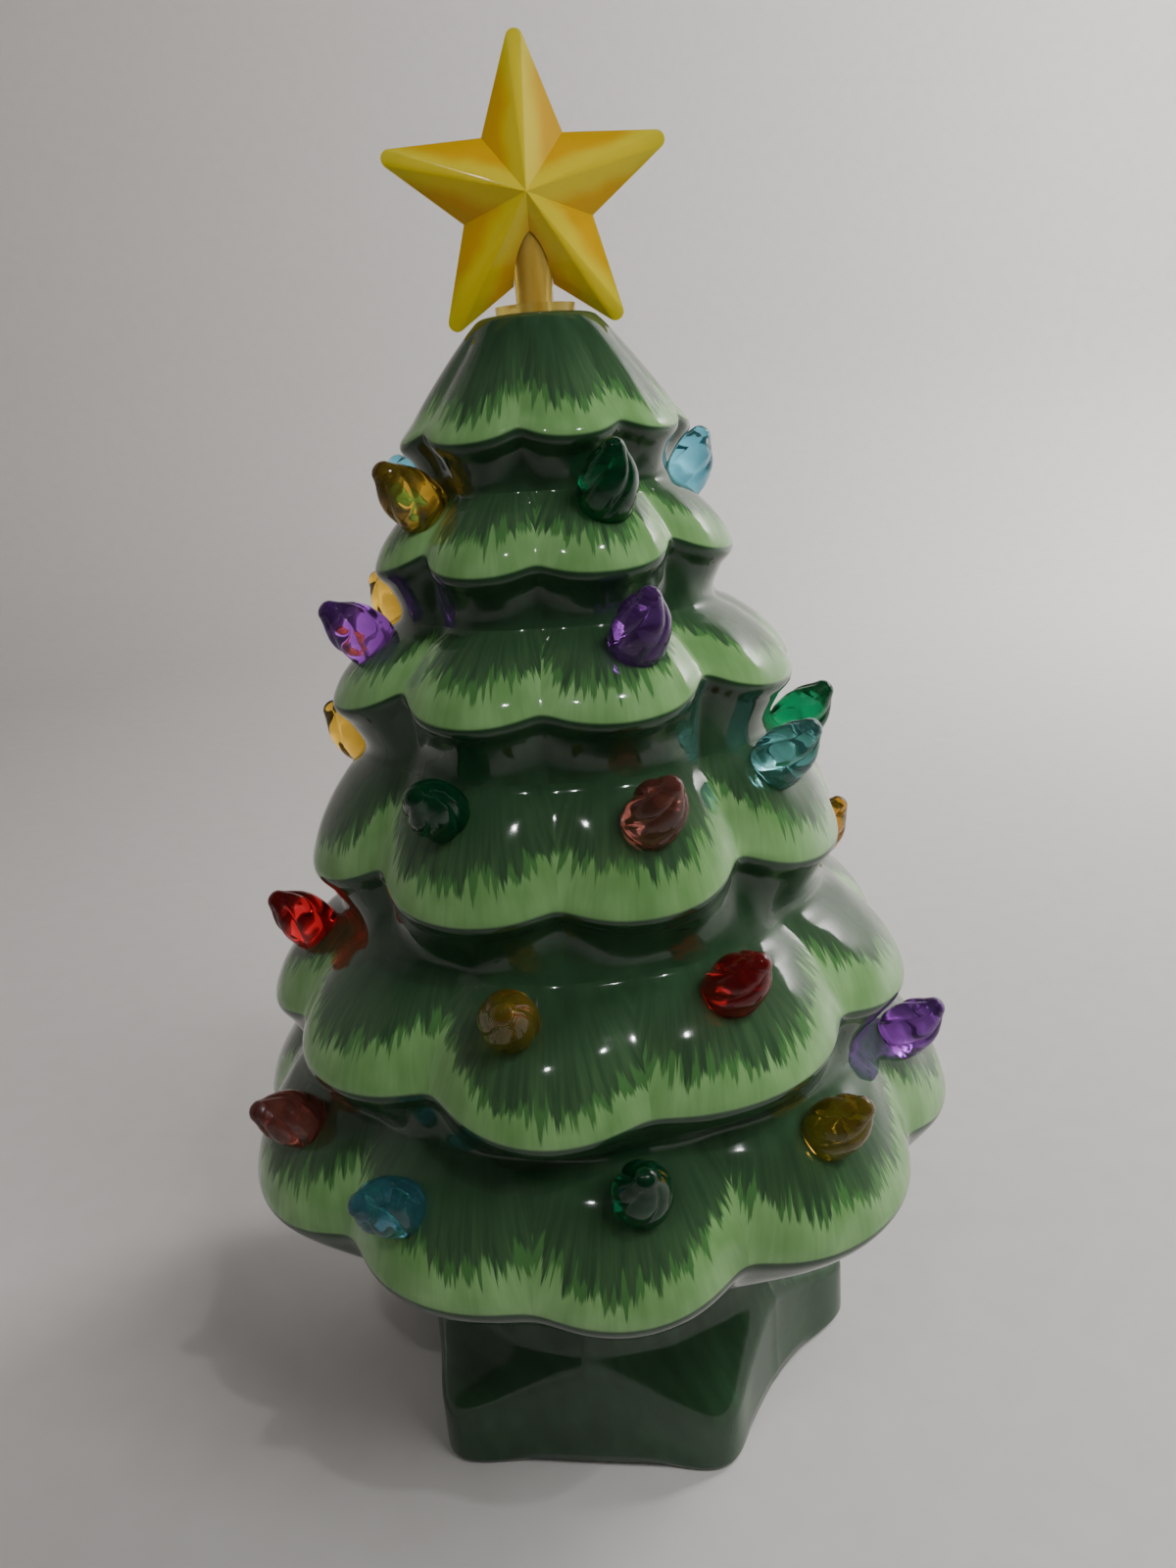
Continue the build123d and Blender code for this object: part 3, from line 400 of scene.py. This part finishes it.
# By row: colour, angle, share of the fall, tilt up from level and swing aside of each bulb
bulb_places = {
    5: (("salmon", -58, 0.2, 34, 0), ("blue", -31, 0.36, 34, -14), ("dark green", 5, 0.2, 54, 0),
        ("gold", 37, 0.2, 47, 16), ("purple", 70, 0.2, 46, 0), ("red", 118, 0.2, 46, 0),
        ("blue", 168, 0.2, 46, 0), ("gold", 245, 0.2, 46, 0)),
    4: (("red", -80, 0.2, 46, 0), ("gold", -14, 0.2, 36, 10), ("red", 25, 0.2, 47, 18),
        ("amber", 108, 0.2, 46, 0), ("blue", 160, 0.2, 46, 0), ("green", 225, 0.2, 46, 0)),
    3: (("gold", -107, 0.2, 46, 0), ("dark green", -30, 0.2, 36, 6), ("salmon", 15, 0.3, 50, 18),
        ("teal", 54, 0.2, 46, 12), ("green", 88, 0.2, 46, 0), ("purple", 145, 0.2, 46, 0),
        ("red", 195, 0.2, 46, 0)),
    2: (("purple", -72, 0.24, 42, 0), ("purple", 20, 0.24, 60, 8), ("red", 150, 0.24, 46, 0),
        ("gold", 240, 0.24, 46, 0)),
    1: (("gold", -60, 0.2, 46, 0), ("dark green", 20, 0.2, 62, 0), ("light blue", 110, 0.2, 58, 0),
        ("red", 172, 0.2, 46, 0), ("light blue", 242, 0.2, 46, 0)),
}
bulb_colours = {
    "gold": "#EEC044", "amber": "#E8A83A", "dark green": "#178A58", "green": "#1C9A62",
    "light blue": "#81DEF9", "blue": "#6FC3DC", "teal": "#89DAE0",
    "red": "#FA3038", "salmon": "#E47E74", "purple": "#B860E8",
}
bulb_columns, bulb_flow, bulb_rows = 120, 4.0, 8
bulb_turns = np.arange(bulb_columns) * 360 / bulb_columns
bulb_mesh = []
bulb_curve = smooth_rows(bulb_stations[:, None, :], bulb_rows)[:, 0]
for share, width, flute in bulb_curve:
    valley = (1 - np.abs(np.cos(np.radians(bulb_turns - bulb_twist * share) * bulb_petals / 2))) ** 2
    creased = width * bulb_radius * (1 - bulb_flute * flute * valley)
    bulb_mesh.append(around(bulb_turns, creased, share * bulb_length - bulb_sink))
bulb_mesh = np.array([around(bulb_turns, 0.01, -bulb_sink)] + bulb_mesh)
acrylics = {}
for colour, code in bulb_colours.items():
    acrylics[colour], tree, shader = new_material("clear_acrylic_" + colour.replace(" ", "_"))
    place = add_node(tree, "ShaderNodeTexCoord")
    flow = add_node(tree, "ShaderNodeTexNoise", {
        "Vector": place.outputs["Object"], "Scale": 1 / (bulb_flow * mm), "Detail": 2.0})
    tint = add_node(tree, "ShaderNodeHueSaturation", {
        "Color": linear(code),
        "Value": add_node(tree, "ShaderNodeMapRange", {
            "Value": flow.outputs["Fac"], "To Min": 0.8, "To Max": 1.2}).outputs[0]})
    tree.links.new(tint.outputs[0], shader.inputs["Base Color"])
    shader.inputs["Roughness"].default_value = 0.04
    shader.inputs["IOR"].default_value = 1.49
    shader.inputs["Transmission Weight"].default_value = 0.94
for row, seats in bulb_places.items():
    tier = tiers[len(tiers) - 1 - row]
    for number, (colour, angle, fall, tilt, swing) in enumerate(seats, start=1):
        seat = around(angle, *skirt_point(tier, fall, np.float64(angle)))
        aim, rise = angle + swing, np.radians(tilt)
        axis = around(aim, np.cos(rise), np.sin(rise)) / mm
        side = around(aim + 90, 1.0, 0.0) / mm
        lean = np.array([side, np.cross(axis, side), axis])
        bulb = skin(f"flame_bulb_{row}_{number}", seat + bulb_mesh @ lean)
        bulb.data.materials.append(acrylics[colour])
        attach(bulb, "tree")
        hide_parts(f"bulb_row{row}_{number}")

# Star: two hollow halves of clear amber polystyrene, glued at the seam. Its colour is painted
# light, paler along the five ridges and deeper between them, as the photograph shows them.
star_centre, star_arms, ridge_reach, flank_reach = 207.2, 5, 1.2, 3.4
flow_size, ridge_wander = 7.0, 1.5
amber, tree, shader = new_material("clear_amber_polystyrene")
place = add_node(tree, "ShaderNodeTexCoord")
from_centre = add_node(tree, "ShaderNodeMapping", {
    "Vector": place.outputs["Object"], "Location": (0, 0, -star_centre), "Scale": (1 / mm, 0, 1 / mm)})
star_axes = add_node(tree, "ShaderNodeSeparateXYZ", {"Vector": from_centre.outputs[0]})
star_reach = add_node(tree, "ShaderNodeVectorMath", {0: from_centre.outputs[0]}, operation="LENGTH")
star_turn = add_node(tree, "ShaderNodeMath", {
    0: star_axes.outputs["X"], 1: star_axes.outputs["Z"]}, operation="ARCTAN2")
from_arm = add_node(tree, "ShaderNodeMath", {
    0: star_turn.outputs[0], 1: np.pi / star_arms}, operation="PINGPONG")
arm_sine = add_node(tree, "ShaderNodeMath", {0: from_arm.outputs[0]}, operation="SINE")
from_ridge = add_node(tree, "ShaderNodeMath", {
    0: star_reach.outputs["Value"], 1: arm_sine.outputs[0]}, operation="MULTIPLY")
flow = add_node(tree, "ShaderNodeTexNoise", {
    "Vector": place.outputs["Object"], "Scale": 1 / (flow_size * mm), "Detail": 3.0})
wander = add_node(tree, "ShaderNodeMapRange", {
    "Value": flow.outputs["Fac"], "To Min": -ridge_wander, "To Max": ridge_wander})
# Painted light: paler along the ridges, as if lit through both halves, and deeper on the flanks between.
painted_ridge_light = add_node(tree, "ShaderNodeMapRange", {
    "Value": add_node(tree, "ShaderNodeMath", {
        0: from_ridge.outputs[0], 1: wander.outputs[0]}, operation="ADD").outputs[0],
    "From Min": ridge_reach, "From Max": flank_reach}, interpolation_type="SMOOTHSTEP")
honey = add_node(tree, "ShaderNodeMix", {
    "Factor": painted_ridge_light.outputs[0], 6: linear("#FFEA34"), 7: linear("#F6C000")}, data_type="RGBA")
tree.links.new(honey.outputs[2], shader.inputs["Base Color"])
shader.inputs["Roughness"].default_value = 0.12
shader.inputs["IOR"].default_value = 1.45
shader.inputs["Transmission Weight"].default_value = 0.3
for name in ("star_front", "star_back"):
    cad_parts[name].data.materials.clear()
    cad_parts[name].data.materials.append(amber)

# Stem of the star: a tube of the same plastic, glued into the star, with pale flow lines
# along it and a flange that rests on the crown.
flow_width, flow_length = 1.5, 12.0
stem_amber, tree, shader = new_material("pale_amber_polystyrene")
place = add_node(tree, "ShaderNodeTexCoord")
stem_map = add_node(tree, "ShaderNodeMapping", {
    "Vector": place.outputs["Object"],
    "Scale": (1 / (flow_width * mm), 1 / (flow_width * mm), 1 / (flow_length * mm))})
flow = add_node(tree, "ShaderNodeTexNoise", {"Vector": stem_map.outputs[0], "Scale": 1.0, "Detail": 3.0})
honey = add_node(tree, "ShaderNodeMix", {
    "Factor": flow.outputs["Fac"], 6: linear("#D8AC20"), 7: linear("#FBE888")}, data_type="RGBA")
tree.links.new(honey.outputs[2], shader.inputs["Base Color"])
shader.inputs["Roughness"].default_value = 0.15
shader.inputs["IOR"].default_value = 1.45
shader.inputs["Transmission Weight"].default_value = 0.6
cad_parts["star_stem"].data.materials.clear()
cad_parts["star_stem"].data.materials.append(stem_amber)

# Light unit: moulded and stamped pieces under the foot, each in its own plain finish with
# a fine moulding grain.
unit_finishes = {
    "white_abs": ("#E6E5E0", 0.0, 0.45, ("light_base", "battery_cover")),
    "clear_silicone": ("#D5D8D6", 0.0, 0.4, ("retaining_ring",)),
    "black_rubber": ("#1A1A1A", 0.0, 0.7, ("cover_seal",)),
    "nickel_steel": ("#C8C6C0", 1.0, 0.28, ("coin_cell_lower", "coin_cell_upper", "negative_contact",
                                            "positive_contact", "board_screws")),
    "green_laminate": ("#1C5A2C", 0.0, 0.35, ("circuit_board",)),
    "lamp_epoxy": ("#F0EEDF", 0.0, 0.15, ("lamp_1", "lamp_2", "lamp_3")),
    "black_epoxy": ("#151515", 0.0, 0.5, ("timer_chip", "switch_body", "switch_slider")),
    "tan_lacquer": ("#BE9E6E", 0.0, 0.3, ("resistor",)),
    "frosted_polycarbonate": ("#F2F2EE", 0.0, 0.55, ("light_dome",)),
}
grain_size, grain_depth = 0.6, 0.05
for finish, (code, metal, gloss, nodes) in unit_finishes.items():
    material, tree, shader = new_material(finish)
    place = add_node(tree, "ShaderNodeTexCoord")
    grain = add_node(tree, "ShaderNodeTexNoise", {
        "Vector": place.outputs["Object"], "Scale": 1 / (grain_size * mm), "Detail": 2.0})
    tone = add_node(tree, "ShaderNodeHueSaturation", {
        "Color": linear(code),
        "Value": add_node(tree, "ShaderNodeMapRange", {
            "Value": grain.outputs["Fac"], "To Min": 0.93, "To Max": 1.07}).outputs[0]})
    skin_bump = add_node(tree, "ShaderNodeBump", {
        "Height": grain.outputs["Fac"], "Strength": 0.1, "Distance": grain_depth * mm})
    tree.links.new(tone.outputs[0], shader.inputs["Base Color"])
    tree.links.new(skin_bump.outputs[0], shader.inputs["Normal"])
    shader.inputs["Metallic"].default_value = metal
    shader.inputs["Roughness"].default_value = gloss
    for name in nodes:
        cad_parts[name].data.materials.clear()
        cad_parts[name].data.materials.append(material)

# Studio: a paper bowl all round, pale, with painted shade darkening it at the left and behind
# the camera, soft light from the upper right that leaves no shapes in the glaze, and small lamps for the
# glints.
bowl_rows = [around(hollow_angles, 1.0, 0.0)]
bowl_profile = (
    (300, 0), (700, 0), (850, 12), (980, 60), (1070, 150), (1110, 300), (1120, 700), (1120, 1300))
for radius, height in bowl_profile:
    bowl_rows.append(around(hollow_angles, radius, height))
bowl = skin("paper_bowl", smooth_rows(bowl_rows, 4))
fibres_per_metre = 120.0
paper, tree, shader = new_material("pale_paper")
place = add_node(tree, "ShaderNodeTexCoord")
fibre = add_node(tree, "ShaderNodeTexNoise", {
    "Vector": place.outputs["Object"], "Scale": fibres_per_metre, "Detail": 4.0})
tone = add_node(tree, "ShaderNodeMix", {
    "Factor": fibre.outputs["Fac"], 6: linear("#DAD6D3"), 7: linear("#E4E1DE")}, data_type="RGBA")
bowl_axes = add_node(tree, "ShaderNodeSeparateXYZ", {"Vector": place.outputs["Object"]})
# Painted shade: the paper darkens in front of the tree, towards the camera, and towards the left.
shade = add_node(tree, "ShaderNodeMapRange", {
    "Value": bowl_axes.outputs["Y"], "From Min": -0.06, "From Max": -0.35})
side_shade = add_node(tree, "ShaderNodeMapRange", {
    "Value": bowl_axes.outputs["X"], "From Min": 0.5, "From Max": -0.5, "To Max": 0.5})
most_shade = add_node(tree, "ShaderNodeMath", {
    0: shade.outputs[0], 1: side_shade.outputs[0]}, operation="MAXIMUM")
paper_with_painted_shade = add_node(tree, "ShaderNodeMix", {
    "Factor": most_shade.outputs[0], 6: tone.outputs[2], 7: linear("#5E5A57")}, data_type="RGBA")
tree.links.new(paper_with_painted_shade.outputs[2], shader.inputs["Base Color"])
shader.inputs["Roughness"].default_value = 0.9
bowl.data.materials.append(paper)

for name, place, target, size, power, glints in (
        ("key", (0.50, -0.45, 0.75), (0, 0, 0.11), 0.40, 4.5, False),
        ("fill", (-0.60, -0.50, 0.45), (0, 0, 0.11), 0.60, 0.6, False),
        ("wall_wash", (0.90, 0.35, 0.85), (0.70, 1.00, 0.25), 0.35, 18.0, False),
        ("lamp_left", (-0.16, -0.50, 0.80), (0, 0, 0.11), 0.022, 0.5, True),
        ("lamp_right", (0.30, -0.40, 0.85), (0, 0, 0.11), 0.022, 0.8, True)):
    light = bpy.data.lights.new(name, "AREA")
    light.size, light.energy = size, power
    lamp = bpy.data.objects.new(name, light)
    bpy.context.scene.collection.objects.link(lamp)
    lamp.location = place
    lamp.rotation_euler = (Vector(target) - Vector(place)).to_track_quat("-Z", "Y").to_euler()
    lamp.visible_glossy = glints
world = bpy.data.worlds.new("room")
world.use_nodes = True
world.node_tree.nodes["Background"].inputs["Color"].default_value = linear("#B8B4B0")
world.node_tree.nodes["Background"].inputs["Strength"].default_value = 0.12
bpy.context.scene.world = world

# Camera: fitted to the photograph's view, about a hand's length from the boughs, level with
# the topmost tier and looking down
camera_place = Vector((0.0, -0.195, 0.1775))
pitch, yaw, roll = np.radians((17.85, 0.73, 4.36))
focal_share = 1203 / 1600
right = Vector((np.cos(yaw), -np.sin(yaw), 0))
forward = Vector((np.sin(yaw) * np.cos(pitch), np.cos(yaw) * np.cos(pitch), -np.sin(pitch)))
up = Vector((np.sin(yaw) * np.sin(pitch), np.cos(yaw) * np.sin(pitch), np.cos(pitch)))
across = right * np.cos(roll) - up * np.sin(roll)
upward = right * np.sin(roll) + up * np.cos(roll)
lens = bpy.data.cameras.new("camera")
lens.sensor_fit, lens.sensor_width, lens.lens = "AUTO", 36.0, 36.0 * focal_share
lens.clip_start = 0.01
camera = bpy.data.objects.new("camera", lens)
bpy.context.scene.collection.objects.link(camera)
camera_turn = Matrix((across, upward, -forward)).transposed()
camera.matrix_world = Matrix.Translation(camera_place) @ camera_turn.to_4x4()
bpy.context.scene.camera = camera
